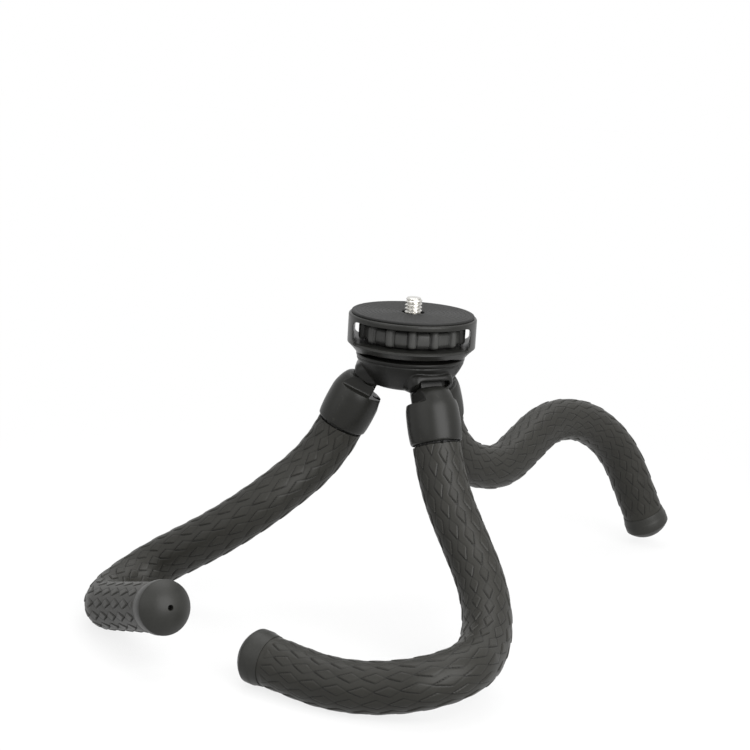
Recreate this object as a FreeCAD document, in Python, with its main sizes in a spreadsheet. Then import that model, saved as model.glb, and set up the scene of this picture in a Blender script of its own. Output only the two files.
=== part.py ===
import FreeCAD, Part
import math
import os
import re
from collections import namedtuple

import Sketcher
from FreeCAD import Placement, Rotation, Vector

# A small camera support: a round head with a captive camera screw and its thumbwheel stands on
# a bowl-shaped hub that carries three bendable legs. The origin is on the head's axis, at the
# face that the camera sits on, and +Z points up. All sizes are millimetres and degrees.

SIZES = (
    ("screw_radius", 3.175, "camera thread, quarter inch across"),
    ("screw_reach", 5.5, "thread above the camera pad"),
    ("screw_bevel", 0.5, "bevel at the screw's tip"),
    ("shoulder_radius", 3.6, "plain shoulder under the thread"),
    ("shoulder_drop", 0.8, "top of the shoulder below the pad's face"),
    ("relief_radius", 2.6, "thread relief above the shoulder"),
    ("relief_high", 0.6, "thread relief above the shoulder"),
    ("flange_radius", 5.5, "flange that the wheel sits on"),
    ("flange_thick", 1.2, "flange"),
    ("running_gap", 0.06, "round a shaft that turns"),
    ("fixed_gap", 0.05, "round a piece that stays put"),
    ("over_cut", 1.0, "a cut past the face that it opens"),
    ("pad_inset", 1.0, "pad's edge inside the plate's"),
    ("pad_hole_radius", 4.3, "pad round the screw"),
    ("pad_thick", 1.0, "camera pad"),
    ("pad_bevel", 0.4, "camera pad's upper edge"),
    ("plate_radius", 23.9, "top plate of the head"),
    ("plate_thick", 2.0, "top plate of the head"),
    ("plate_bevel", 0.5, "top plate's edges"),
    ("window_high", 8.1, "window round the thumbwheel"),
    ("window_bevel", 1.2, "window's corners"),
    ("pillar_thick", 2.3, "pillar beside the window"),
    ("sill_high", 4.7, "bowl's rim to the window"),
    ("pillar_foot", 1.1, "foot of the pillar below the window"),
    ("slot_high", 1.65, "crescent slot above the rim"),
    ("slot_deep", 5.5, "crescent slot"),
    ("slot_angle", 144.0, "crescent slot, end to end"),
    ("head_turn", -8.0, "the head about its axis"),
    ("wheel_turn", 12.6, "the thumbwheel about its axis"),
    ("wheel_inset", 1.4, "ribs' faces inside the pillars"),
    ("rib_high", 1.5, "ribs above the wheel's web"),
    ("wheel_thick", 6.9, "thumbwheel"),
    ("wheel_lift", 0.4, "thumbwheel above its sill"),
    ("web_drop", 0.9, "web below the ribs' top"),
    ("rib_wide", 3.1, "rib of the thumbwheel"),
    ("rib_bevel", 0.6, "rib's outer corners"),
    ("rib_long", 4.7, "top of a rib, inwards"),
    ("rib_count", 14, "ribs"),
    ("clip_radius", 6.0, "retaining ring on the screw"),
    ("clip_thick", 0.5, "retaining ring on the screw"),
    ("glide_inner_radius", 5.9, "washer under the thumbwheel"),
    ("glide_radius", 9.5, "washer under the thumbwheel"),
    ("glide_gap", 0.05, "washer to the thumbwheel"),
    ("bolt_radius", 2.5, "bolt between head and hub"),
    ("bolt_head_radius", 4.8, "bolt between head and hub"),
    ("bolt_head_thick", 2.2, "bolt between head and hub"),
    ("bolt_head_sink", 0.2, "bolt's head below the sill"),
    ("bolt_spare", 0.8, "bolt's end past its nut"),
    ("nut_radius", 4.6, "pan nut over its corners"),
    ("nut_thick", 4.0, "pan nut"),
    ("brake_radius", 4.8, "washer between hub and nut"),
    ("brake_thick", 1.0, "washer between hub and nut"),
    ("rim_radius", 20.5, "bowl of the hub"),
    ("lip_high", 1.3, "lip of the bowl"),
    ("groove_high", 0.6, "groove under the lip"),
    ("groove_deep", 0.4, "groove under the lip"),
    ("bowl_high", 11.7, "bowl of the hub"),
    ("waist_inset", 3.8, "where the bowl starts to round in, inside the rim"),
    ("waist_drop", 9.0, "where the bowl starts to round in"),
    ("foot_inset", 9.0, "flat bottom of the bowl, inside the rim"),
    ("hood_inset", 0.3, "hood over a leg's notch, inside the rim"),
    ("hood_angle", 48.0, "hood round the bowl"),
    ("hood_border", 1.9, "hood above its arch"),
    ("hood_bevel", 1.5, "hood's lower edge"),
    ("deck_thick", 3.2, "top deck of the bowl"),
    ("notch_wide", 12.2, "notch for a leg"),
    ("notch_inset", 11.9, "inner end of a leg's notch, inside the rim"),
    ("wall_thick", 2.2, "hood's front wall"),
    ("arch_drop", 6.1, "arch of the notch below the rim"),
    ("cavity_radius", 5.2, "nut's cavity"),
    ("cover_radius", 8.1, "cover under the hub"),
    ("cover_thick", 1.5, "cover under the hub"),
    ("cover_screw_radius", 0.8, "screws of the cover"),
    ("cover_screw_head", 1.3, "head of a cover screw"),
    ("cover_screw_sink", 0.8, "head of a cover screw"),
    ("cover_screw_out", 6.6, "cover screws from the axis"),
    ("cover_screw_long", 5.0, "hole of a cover screw"),
    ("cover_screw_spare", 0.3, "cover screw's end to the end of its hole"),
    ("pivot_drop", 7.8, "leg's hinge below the rim"),
    ("pivot_inset", 7.2, "leg's hinge inside the rim"),
    ("pin_radius", 1.5, "hinge pin of a leg"),
    ("pin_seat", 1.6, "pin's hold in the hub at each end"),
    ("shim_radius", 3.6, "washer beside a neck"),
    ("neck_wide", 9.0, "neck between its washers"),
    ("eye_radius", 4.2, "rounded top of a neck"),
    ("neck_inner", 3.2, "inner side of the neck from its hinge"),
    ("neck_drop", 8.0, "square part of the neck"),
    ("stem_radius", 4.5, "round stem inside the collar"),
    ("stem_drop", 18.4, "end of the stem below the hinge"),
    ("socket_deep", 6.0, "socket for the core in the stem"),
    ("collar_out", 1.8, "collar's axis outside the hinge"),
    ("collar_drop", 23.4, "collar's lower rim below the hinge"),
    ("collar_rim_radius", 9.5, "lower rim of the collar"),
    ("collar_belly_radius", 9.9, "widest part of the collar"),
    ("collar_belly_up", 4.9, "widest part above the rim"),
    ("collar_waist_radius", 9.7, "collar where its dome starts"),
    ("collar_waist_up", 12.6, "dome's start above the rim"),
    ("collar_brow_radius", 8.6, "half way up the dome"),
    ("collar_brow_up", 16.0, "half way up the dome"),
    ("collar_top_radius", 5.9, "dome under the arch"),
    ("collar_top_up", 19.8, "dome under the arch"),
    ("collar_flat_up", 15.0, "flat shoulders above the rim"),
    ("collar_crest_wide", 11.2, "dome between the shoulders"),
    ("collar_wall_up", 17.5, "inner wall above the rim"),
    ("collar_mouth_deep", 2.0, "sleeve inside the collar"),
    ("mouth_gap", 0.1, "sleeve to the collar's mouth"),
    ("lock_radius", 1.2, "neck screw"),
    ("lock_head_radius", 2.1, "neck screw"),
    ("lock_head_thick", 1.5, "neck screw"),
    ("lock_up", 13.0, "neck screw above the collar's rim"),
    ("lock_bite", 2.2, "neck screw inside the stem"),
    ("lock_spare", 0.2, "neck screw's end to the end of its hole"),
    ("crown_wall", 0.5, "rim on top of the collar's dome"),
    ("sleeve_radius", 8.75, "rubber sleeve of a leg"),
    ("core_radius", 3.0, "bendable core of a leg"),
    ("core_short", 3.0, "core's end before the cap's rim plane"),
    ("leg_long", 205.0, "hinge to the rim plane of the foot cap, along the leg"),
    ("leg_drawn", 205.0, "the leg's length that its runs and bends are given for"),
    ("cap_radius", 10.1, "foot cap"),
    ("cap_dome_high", 8.0, "foot cap's dome"),
    ("cap_skirt_long", 7.0, "foot cap's skirt"),
    ("cap_skirt_wall", 0.3, "skirt's thin edge"),
    ("vent_radius", 1.0, "vent hole of the foot cap"),
    ("legs_turn", 27.0, "the three legs about the head's axis"),
    ("hip_tilt", 24.0, "collars leaning out at their stop"),
)

# How each leg is bent, from the hub to its foot. Each bend follows a straight run and has the
# radius of its centre line, the angle that it turns through, and the roll of its plane about
# the leg from the plane of the bend before it.
BENDS = {
    "left": ((24.5, 47, 32.6, -40), (3.5, 74, 33, 114), (11.5, 19, 69, -167), (0.5, 20, 72, -4)),
    "front": ((26, 89, 17.1, -28.5), (16.1, 39, 72.1, 87.2), (0.5, 22.1, 72.1, 66.8),
              (0.5, 64.8, 32.7, -31.6)),
    "right": ((25, 41, 55.3, 17), (0.5, 30, 34, -31), (19.5, 49, 34, 181), (0.5, 47, 57, 8)),
}
LEG_AZIMUTH = {"left": 150.0, "front": -90.0, "right": 30.0}
BEND_KEYS = ("run", "radius", "turn", "roll")

doc = FreeCAD.newDocument("bendable_leg_camera_support")
sheet = doc.addObject("Spreadsheet::Sheet", "sizes")
rows = list(SIZES)
for leg, bends in BENDS.items():
    for number, bend in enumerate(bends, start=1):
        for key, amount in zip(BEND_KEYS, bend):
            rows.append((f"{leg}_{key}_{number}", amount, f"{leg} leg, bend {number}"))
for line, (name, amount, note) in enumerate(rows, start=1):
    sheet.set(f"A{line}", note)
    sheet.set(f"B{line}", str(amount))
    sheet.setAlias(f"B{line}", name)
doc.recompute()
NAMES = {name for name, amount, note in rows}


def linked(formula):
    """A formula on the sizes' names, as the document's expressions write it."""
    return re.sub(r"[a-z]\w*", lambda m: "sizes." + m.group() if m.group() in NAMES else m.group(), formula)


def value(formula):
    """What a formula on the sizes comes to now."""
    return float(sheet.evalExpression(linked(formula)))


def bind(piece, **formulas):
    for key, formula in formulas.items():
        piece.setExpression(key, linked(formula))


def place(piece, x="0", y="0", z="0"):
    for key, formula in (("x", x), ("y", y), ("z", z)):
        piece.setExpression("Placement.Base." + key, linked(formula))


# Heights on the head's axis, from the camera pad down.
PLATE_TOP = "(-pad_thick)"
PLATE_LOW = f"({PLATE_TOP} - plate_thick)"
SILL = f"({PLATE_LOW} - window_high)"
RIM = f"({SILL} - sill_high)"
WHEEL_LOW = f"({SILL} + wheel_lift)"
WHEEL_TOP = f"({WHEEL_LOW} + wheel_thick)"
BOLT_SEAT = f"({SILL} - bolt_head_sink - bolt_head_thick)"
DECK_LOW = f"({RIM} - deck_thick)"
BRAKE_LOW = f"({DECK_LOW} - brake_thick)"
NUT_LOW = f"({BRAKE_LOW} - nut_thick)"
BOWL_LOW = f"({RIM} - bowl_high)"
PIVOT = f"({RIM} - pivot_drop)"

# The hub's radii, from the bowl's rim inwards.
WAIST = "(rim_radius - waist_inset)"
FOOT = "(rim_radius - foot_inset)"
HOOD = "(rim_radius - hood_inset)"
PIVOT_OUT = "(rim_radius - pivot_inset)"
NOTCH_INNER = "(rim_radius - notch_inset)"

# The thumbwheel's radii, from the edge of the head inwards.
WHEEL_FACE = "(plate_radius - pillar_thick - wheel_inset)"
WHEEL_WEB = f"({WHEEL_FACE} - rib_high)"
RIB_ROOT = f"({WHEEL_FACE} - rib_long)"


def new_body(name):
    return doc.addObject("PartDesign::Body", name)


def origin_feature(body, role):
    return next(item for item in body.Origin.OriginFeatures if item.Role == role)


def new_sketch(body, plane, name):
    sketch = body.newObject("Sketcher::SketchObject", name)
    sketch.AttachmentSupport = [(origin_feature(body, plane), "")]
    sketch.MapMode = "FlatFace"
    return sketch


def pin_point(sketch, edge, end, x, y):
    """Fix a point of a sketch by its distances from the sketch's origin."""
    for kind, formula, axis in (("DistanceX", x, -2), ("DistanceY", y, -1)):
        if abs(value(formula)) < 1e-9:
            sketch.addConstraint(Sketcher.Constraint("PointOnObject", edge, end, axis))
            continue
        index = sketch.addConstraint(Sketcher.Constraint(kind, -1, 1, edge, end, value(formula)))
        sketch.setExpression(f"Constraints[{index}]", linked(formula))


def outline(body, plane, points, name):
    """A closed outline with straight sides, each corner given by two formulas."""
    sketch = new_sketch(body, plane, name)
    corners = [Vector(value(x), value(y), 0) for x, y in points]
    count = len(corners)
    for k in range(count):
        sketch.addGeometry(Part.LineSegment(corners[k], corners[(k + 1) % count]), False)
    for k in range(count):
        sketch.addConstraint(Sketcher.Constraint("Coincident", k, 2, (k + 1) % count, 1))
    for k, (x, y) in enumerate(points):
        pin_point(sketch, k, 1, x, y)
    return sketch


def rounds(body, plane, circles, name):
    """Circles, each given by the formulas of its centre and radius."""
    sketch = new_sketch(body, plane, name)
    for k, (x, y, radius) in enumerate(circles):
        centre = Vector(value(x), value(y), 0)
        sketch.addGeometry(Part.Circle(centre, Vector(0, 0, 1), value(radius)), False)
        pin_point(sketch, k, 3, x, y)
        index = sketch.addConstraint(Sketcher.Constraint("Radius", k, value(radius)))
        sketch.setExpression(f"Constraints[{index}]", linked(radius))
    return sketch


def turn(body, points, name, angle="360", cut=False):
    """Turn an outline of radius and height about the body's Z axis."""
    sketch = outline(body, "XZ_Plane", points, name + "_outline")
    kind = "PartDesign::Groove" if cut else "PartDesign::Revolution"
    feature = body.newObject(kind, name)
    feature.Profile = sketch
    feature.ReferenceAxis = (sketch, ["V_Axis"])
    feature.Midplane = True
    bind(feature, Angle=angle)
    return feature


def through(body, sketch, length, name, cut=True):
    """Cut or add a sketch's shape to both sides of its plane, over a whole length."""
    feature = body.newObject("PartDesign::Pocket" if cut else "PartDesign::Pad", name)
    feature.Profile = sketch
    feature.SideType = "Symmetric"
    bind(feature, Length=length)
    return feature


def around(body, feature, count, name):
    """Repeat a feature about the body's Z axis."""
    pattern = body.newObject("PartDesign::PolarPattern", name)
    pattern.Originals = [feature]
    pattern.Axis = (origin_feature(body, "Z_Axis"), [""])
    pattern.Angle = 360
    bind(pattern, Occurrences=count)
    body.Tip = pattern
    return pattern


def box(left, right, low, high):
    return ((left, low), (right, low), (right, high), (left, high))


def bevelled(left, right, low, high, bevel):
    return ((f"{left} + {bevel}", low), (f"{right} - {bevel}", low), (right, f"{low} + {bevel}"),
            (right, f"{high} - {bevel}"), (f"{right} - {bevel}", high), (f"{left} + {bevel}", high),
            (left, f"{high} - {bevel}"), (left, f"{low} + {bevel}"))


AXES = {"X": Rotation(Vector(0, 1, 0), 90), "Y": Rotation(Vector(1, 0, 0), -90), "Z": Rotation()}


def rod(name, radius, length, x="0", y="0", z="0", along="Z"):
    """A plain round, from its start point along +X, +Y or +Z."""
    piece = doc.addObject("Part::Cylinder", name)
    bind(piece, Radius=radius, Height=length)
    piece.Placement = Placement(Vector(), AXES[along])
    place(piece, x, y, z)
    return piece


def joined(name, pieces, kind="Part::MultiFuse"):
    piece = doc.addObject(kind, name)
    setattr(piece, "Links" if kind == "Part::Compound" else "Shapes", pieces)
    return piece


def less(name, base, tool):
    piece = doc.addObject("Part::Cut", name)
    piece.Base = base
    piece.Tool = tool
    return piece


kept = []


def keep(piece, label, placement=None):
    """Name a finished sub-part and put it where it belongs."""
    piece.Label = label
    if placement is not None:
        piece.Placement = placement
    kept.append(piece)
    return piece


def ring(label, inner, outer, low, high):
    body = new_body(label + "_body")
    turn(body, box(inner, outer, low, high), label + "_turned")
    return keep(body, label)


def camera_pad():
    body = new_body("camera_pad_body")
    edge = "plate_radius - pad_inset"
    points = (("pad_hole_radius", PLATE_TOP), (edge, PLATE_TOP), (edge, "-pad_bevel"),
              (f"{edge} - pad_bevel", "0"), ("pad_hole_radius", "0"))
    turn(body, points, "pad_turned")
    keep(body, "camera_pad", Placement(Vector(), Rotation(Vector(0, 0, 1), value("head_turn"))))


def head_cage():
    """Top plate, two pillars and base in one moulding, open to the front and the back."""
    body = new_body("head_cage_body")
    points = (("0", RIM), ("rim_radius - groove_deep", RIM), ("plate_radius", f"{SILL} - pillar_foot"),
              ("plate_radius", f"{PLATE_TOP} - plate_bevel"), ("plate_radius - plate_bevel", PLATE_TOP),
              ("0", PLATE_TOP))
    turn(body, points, "cage_turned")
    side = "(plate_radius - pillar_thick)"
    window = outline(body, "XZ_Plane", bevelled("-" + side, side, SILL, PLATE_LOW, "window_bevel"), "window")
    through(body, window, "2 * (plate_radius + over_cut)", "window_cut")
    journal = "shoulder_radius + running_gap"
    turn(body, box("0", journal, PLATE_LOW, f"{PLATE_TOP} + over_cut"), "screw_bearing", cut=True)
    recess = box("0", "bolt_head_radius + fixed_gap", BOLT_SEAT, f"{SILL} + over_cut")
    turn(body, recess, "bolt_recess", cut=True)
    turn(body, box("0", "bolt_radius + fixed_gap", f"{RIM} - over_cut", BOLT_SEAT), "bolt_hole", cut=True)
    corners = box("rim_radius - slot_deep", "plate_radius + over_cut",
                  f"{RIM} - over_cut", f"{RIM} + slot_high")
    slot = outline(body, "YZ_Plane", corners, "slot")
    crescent = body.newObject("PartDesign::Groove", "crescent_slot")
    crescent.Profile = slot
    crescent.ReferenceAxis = (slot, ["V_Axis"])
    crescent.Midplane = True
    bind(crescent, Angle="slot_angle")
    around(body, crescent, "2", "crescent_slots")
    keep(body, "head_cage", Placement(Vector(), Rotation(Vector(0, 0, 1), value("head_turn"))))


def thumbwheel():
    """Disc with a raised rib at each finger grip, on the screw's shoulder."""
    body = new_body("thumbwheel_body")
    hole = "shoulder_radius + fixed_gap"
    web_top = f"{WHEEL_TOP} - web_drop"
    points = ((hole, f"{WHEEL_LOW} + flange_thick"),
              ("flange_radius + fixed_gap", f"{WHEEL_LOW} + flange_thick"),
              ("flange_radius + fixed_gap", WHEEL_LOW), (f"{WHEEL_WEB} - web_drop", WHEEL_LOW),
              (WHEEL_WEB, f"{WHEEL_LOW} + web_drop"), (WHEEL_WEB, web_top),
              (RIB_ROOT, web_top), (RIB_ROOT, WHEEL_TOP), (hole, WHEEL_TOP))
    turn(body, points, "wheel_turned")
    rib = outline(body, "XZ_Plane", ((f"{RIB_ROOT} - over_cut", f"{WHEEL_LOW} + web_drop"),
                                     (f"{WHEEL_FACE} - rib_bevel", f"{WHEEL_LOW} + web_drop"),
                                     (WHEEL_FACE, f"{WHEEL_LOW} + web_drop + rib_bevel"),
                                     (WHEEL_FACE, f"{WHEEL_TOP} - rib_bevel"),
                                     (f"{WHEEL_FACE} - rib_bevel", WHEEL_TOP),
                                     (f"{RIB_ROOT} - over_cut", WHEEL_TOP)), "rib_outline")
    first = through(body, rib, "rib_wide", "rib", cut=False)
    around(body, first, "rib_count", "ribs")
    keep(body, "thumbwheel", Placement(Vector(), Rotation(Vector(0, 0, 1), value("wheel_turn"))))


def camera_screw():
    body = new_body("camera_screw_body")
    flange_top = f"{WHEEL_LOW} + flange_thick - fixed_gap"
    points = (("0", WHEEL_LOW), ("flange_radius", WHEEL_LOW), ("flange_radius", flange_top),
              ("shoulder_radius", flange_top), ("shoulder_radius", "-shoulder_drop"),
              ("relief_radius", "-shoulder_drop"), ("relief_radius", "relief_high - shoulder_drop"),
              ("screw_radius", "relief_high - shoulder_drop"), ("screw_radius", "screw_reach - screw_bevel"),
              ("screw_radius - screw_bevel", "screw_reach"), ("0", "screw_reach"))
    turn(body, points, "screw_turned")
    keep(body, "camera_screw")


def pan_bolt():
    body = new_body("pan_bolt_body")
    end = f"{NUT_LOW} - bolt_spare"
    points = (("0", end), ("bolt_radius", end), ("bolt_radius", BOLT_SEAT), ("bolt_head_radius", BOLT_SEAT),
              ("bolt_head_radius", f"{SILL} - bolt_head_sink"), ("0", f"{SILL} - bolt_head_sink"))
    turn(body, points, "bolt_turned")
    keep(body, "pan_bolt")


def pan_nut():
    prism = doc.addObject("Part::Prism", "nut_hexagon")
    prism.Polygon = 6
    bind(prism, Circumradius="nut_radius", Height="nut_thick")
    place(prism, z=NUT_LOW)
    thread = rod("nut_thread", "bolt_radius + fixed_gap", "nut_thick + 2 * over_cut",
                 z=f"{NUT_LOW} - over_cut")
    keep(less("nut_cut", prism, thread), "pan_nut")


def hub_bowl():
    """Bowl with a hood and a notch for each leg; its own +X points along the right leg."""
    body = new_body("hub_bowl_body")
    groove = f"{RIM} - lip_high"
    points = (("0", RIM), ("rim_radius - groove_deep", RIM), ("rim_radius", f"{RIM} - groove_deep"),
              ("rim_radius", groove), ("rim_radius - groove_deep", groove),
              ("rim_radius - groove_deep", f"{groove} - groove_high"),
              ("rim_radius", f"{groove} - groove_high"),
              (WAIST, f"{RIM} - waist_drop"),
              (f"({WAIST} + {FOOT}) / 2", f"{BOWL_LOW} + (bowl_high - waist_drop) / 4"),
              (FOOT, BOWL_LOW), ("0", BOWL_LOW))
    turn(body, points, "bowl_turned")
    hood_top = f"{RIM} - arch_drop + hood_border"
    hood = turn(body, ((NOTCH_INNER, hood_top), (HOOD, hood_top),
                       (HOOD, f"{BOWL_LOW} + hood_bevel"), (f"{HOOD} - hood_bevel", BOWL_LOW),
                       (NOTCH_INNER, BOWL_LOW)), "hood", angle="hood_angle")
    around(body, hood, "3", "hoods")
    inside = f"{HOOD} - wall_thick"
    arch = f"{RIM} - arch_drop"
    below, beyond = f"{BOWL_LOW} - over_cut", "rim_radius + over_cut"
    notch = outline(body, "XZ_Plane", ((NOTCH_INNER, below), (NOTCH_INNER, DECK_LOW), (inside, DECK_LOW),
                                       (inside, arch), (beyond, arch), (beyond, below)), "notch_outline")
    around(body, through(body, notch, "notch_wide", "notch"), "3", "notches")
    seat = rounds(body, "XZ_Plane", ((PIVOT_OUT, PIVOT, "pin_radius + fixed_gap"),), "pin_seat_outline")
    drilled = through(body, seat, "notch_wide + 2 * pin_seat + 2 * fixed_gap", "pin_seats")
    around(body, drilled, "3", "all_pin_seats")
    turn(body, box("0", "cavity_radius", below, DECK_LOW), "nut_cavity", cut=True)
    recess = box("0", "cover_radius + fixed_gap", below, f"{BOWL_LOW} + cover_thick")
    turn(body, recess, "cover_seat", cut=True)
    turn(body, box("0", "bolt_radius + running_gap", f"{DECK_LOW} - over_cut", f"{RIM} + over_cut"),
         "bolt_bearing", cut=True)
    screw_hole = ("0", "cover_screw_out", "cover_screw_radius + fixed_gap")
    pilot = rounds(body, "XY_Plane", (screw_hole,), "pilot_outline")
    bind(pilot, **{"AttachmentOffset.Base.z": BOWL_LOW})
    around(body, through(body, pilot, "2 * cover_screw_long", "pilot"), "3", "pilots")
    turned = Rotation(Vector(0, 0, 1), value("legs_turn") + LEG_AZIMUTH["right"])
    keep(body, "hub_bowl", Placement(Vector(), turned))


def hub_cover():
    plate = rod("cover_disc", "cover_radius", "cover_thick", z=BOWL_LOW)
    holes = []
    for k in range(3):
        side = LEG_AZIMUTH["right"] + 90 + 120 * k
        at = Vector(math.cos(math.radians(side)), math.sin(math.radians(side)), 0)
        x, y = (f"cover_screw_out * ({part:.9f})" for part in (at.x, at.y))
        holes.append(rod(f"cover_hole_{k}", "cover_screw_radius + fixed_gap", "cover_thick + 2 * over_cut",
                         x, y, f"{BOWL_LOW} - over_cut"))
        holes.append(rod(f"cover_sink_{k}", "cover_screw_head + fixed_gap", "cover_screw_sink + over_cut",
                         x, y, f"{BOWL_LOW} - over_cut"))
    turned = Placement(Vector(), Rotation(Vector(0, 0, 1), value("legs_turn")))
    keep(less("cover_cut", plate, joined("cover_holes", holes)), "hub_cover", turned)


def cover_screws():
    screws = []
    for k in range(3):
        side = LEG_AZIMUTH["right"] + 90 + 120 * k
        at = Vector(math.cos(math.radians(side)), math.sin(math.radians(side)), 0)
        x, y = (f"cover_screw_out * ({part:.9f})" for part in (at.x, at.y))
        shank = rod(f"cover_shank_{k}", "cover_screw_radius", "cover_screw_long - cover_screw_spare",
                    x, y, BOWL_LOW)
        head = rod(f"cover_head_{k}", "cover_screw_head", "cover_screw_sink", x, y, BOWL_LOW)
        screws.append(joined(f"cover_screw_{k}", [shank, head]))
    turned = Placement(Vector(), Rotation(Vector(0, 0, 1), value("legs_turn")))
    keep(joined("cover_screw_set", screws, "Part::Compound"), "cover_screws", turned)


Hip = namedtuple("Hip", "pivot down out placement")
Bend = namedtuple("Bend", "start heading normal axis radius turn")
Run = namedtuple("Run", "start heading length")


def frame_at(point, x_axis, z_axis):
    return Placement(point, Rotation(x_axis, z_axis.cross(x_axis), z_axis, "ZXY"))


def hip(leg):
    """The hinge of a leg: its place, the way the leg leaves and the way it leans out."""
    azimuth = math.radians(LEG_AZIMUTH[leg] + value("legs_turn"))
    tilt = math.radians(value("hip_tilt"))
    radial = Vector(math.cos(azimuth), math.sin(azimuth), 0)
    rise = Vector(0, 0, 1)
    down = radial * math.sin(tilt) - rise * math.cos(tilt)
    out = radial * math.cos(tilt) + rise * math.sin(tilt)
    pivot = radial * value(PIVOT_OUT) + rise * value(PIVOT)
    return Hip(pivot, down, out, frame_at(pivot, out, -down))


def hinge_pins():
    """One pin across each notch."""
    pins = []
    half = "(notch_wide / 2 + pin_seat)"
    for k in range(3):
        pin = rod(f"hinge_pin_{k}", "pin_radius", f"2 * {half}", PIVOT_OUT, f"-{half}", PIVOT, "Y")
        holder = joined(f"hinge_pin_turned_{k}", [pin], "Part::Compound")
        holder.Placement = Placement(Vector(), Rotation(Vector(0, 0, 1), 120 * k))
        pins.append(holder)
    turned = Placement(Vector(), Rotation(Vector(0, 0, 1), value("legs_turn") + LEG_AZIMUTH["right"]))
    keep(joined("hinge_pin_set", pins, "Part::Compound"), "hinge_pins", turned)


def hip_washers():
    """Two friction washers to a pin, between the neck and the hub."""
    gap = "running_gap"
    thick = "((notch_wide - neck_wide) / 2 - 2 * running_gap)"
    washers = []
    for k in range(3):
        for side, start in (("a", f"neck_wide / 2 + {gap}"), ("b", f"-neck_wide / 2 - {gap} - {thick}")):
            disc = rod(f"washer_{side}_{k}", "shim_radius", thick, PIVOT_OUT, start, PIVOT, "Y")
            hole = rod(f"washer_hole_{side}_{k}", "pin_radius + fixed_gap", f"{thick} + 2 * over_cut",
                       PIVOT_OUT, f"{start} - over_cut", PIVOT, "Y")
            washer = less(f"washer_cut_{side}_{k}", disc, hole)
            washer.Placement = Placement(Vector(), Rotation(Vector(0, 0, 1), 120 * k))
            washers.append(washer)
    turned = Placement(Vector(), Rotation(Vector(0, 0, 1), value("legs_turn") + LEG_AZIMUTH["right"]))
    keep(joined("hip_washer_set", washers, "Part::Compound"), "hip_washers", turned)


def neck(leg, placement):
    """Tongue on the hinge pin, with a round stem that the collar and the core fit on."""
    name = leg + "_neck_"
    eye = rod(name + "eye", "eye_radius", "neck_wide", y="-neck_wide / 2", along="Y")
    block = doc.addObject("Part::Box", name + "block")
    bind(block, Length="neck_inner + eye_radius", Width="neck_wide", Height="neck_drop")
    place(block, "-neck_inner", "-neck_wide / 2", "-neck_drop")
    stem = rod(name + "stem", "stem_radius", "stem_drop - neck_drop + over_cut", "collar_out", z="-stem_drop")
    solid = joined(name + "solid", [eye, block, stem])
    pin_hole = rod(name + "pin_hole", "pin_radius + running_gap", "neck_wide + 2 * over_cut",
                   y="-neck_wide / 2 - over_cut", along="Y")
    socket = rod(name + "socket", "core_radius + fixed_gap", "socket_deep + over_cut", "collar_out",
                 z="-stem_drop - over_cut")
    screw_hole = rod(name + "screw_hole", "lock_radius + fixed_gap", "lock_bite + lock_spare + over_cut",
                     "collar_out - stem_radius - over_cut", z="lock_up - collar_drop", along="X")
    cut = less(name + "cut", solid, joined(name + "holes", [pin_hole, socket, screw_hole]))
    keep(cut, leg + "_neck", placement)


def collar(leg, placement):
    """Moulded collar: its dome reaches up under the hub's arch, its mouth takes the sleeve."""
    name = leg + "_collar_"
    body = new_body(name + "body")
    bore = "stem_radius + fixed_gap"
    mouth = "sleeve_radius + mouth_gap"
    levels = [(part + "_radius", f"{part}_up - collar_drop") for part in
              ("collar_belly", "collar_waist", "collar_brow", "collar_top")]
    crown = f"{levels[-1][1]} + crown_wall"
    points = [(mouth, "-collar_drop"), ("collar_rim_radius", "-collar_drop")] + levels
    points += [("stem_radius + crown_wall", crown), (bore, crown), (bore, "collar_mouth_deep - collar_drop"),
               (mouth, "collar_mouth_deep - collar_drop")]
    turn(body, points, name + "turned")
    above = "(collar_belly_radius + over_cut)"
    width = f"2 * {above}"
    sides = (("a", "collar_crest_wide / 2", above), ("b", f"-{above}", "-collar_crest_wide / 2"))
    for side, near, far in sides:
        flat = outline(body, "YZ_Plane", box(near, far, "collar_flat_up - collar_drop", "eye_radius"),
                       name + "flat_" + side)
        through(body, flat, width, name + "shoulder_" + side)
    low_side = box(f"-{above}", "-stem_radius", "collar_wall_up - collar_drop", "eye_radius")
    inner = outline(body, "XZ_Plane", low_side, name + "wall")
    through(body, inner, width, name + "wall_top")
    slot = outline(body, "XZ_Plane", box("-neck_inner - collar_out - fixed_gap",
                                         "eye_radius - collar_out + fixed_gap",
                                         "-neck_drop - fixed_gap", "eye_radius"), name + "slot")
    through(body, slot, "neck_wide + 2 * fixed_gap", name + "neck_slot")
    relief = rounds(body, "XZ_Plane", (("-collar_out", "0", "eye_radius + fixed_gap"),), name + "relief")
    through(body, relief, width, name + "hinge_relief")
    height = "lock_up - collar_drop"
    hole = rod(name + "hole", "lock_radius + fixed_gap", "collar_belly_radius",
               "-collar_belly_radius", z=height, along="X")
    sink = rod(name + "sink", "lock_head_radius + fixed_gap",
               "collar_belly_radius - stem_radius - lock_head_thick",
               "-collar_belly_radius", z=height, along="X")
    cut = less(name + "cut", body, joined(name + "drills", [hole, sink]))
    offset = Placement(Vector(value("collar_out"), 0, 0), Rotation())
    keep(cut, leg + "_collar", placement.multiply(offset))


def neck_screw(leg, placement):
    """Screw that ties the collar to the neck's stem, from the inner side."""
    name = leg + "_lock_"
    height = "lock_up - collar_drop"
    seat = "collar_out - stem_radius - lock_head_thick"
    head = rod(name + "head", "lock_head_radius", "lock_head_thick",
               f"{seat} - lock_head_thick", z=height, along="X")
    shank = rod(name + "shank", "lock_radius", "lock_head_thick + lock_bite", seat, z=height, along="X")
    keep(joined(name + "solid", [head, shank]), leg + "_neck_screw", placement)


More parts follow.
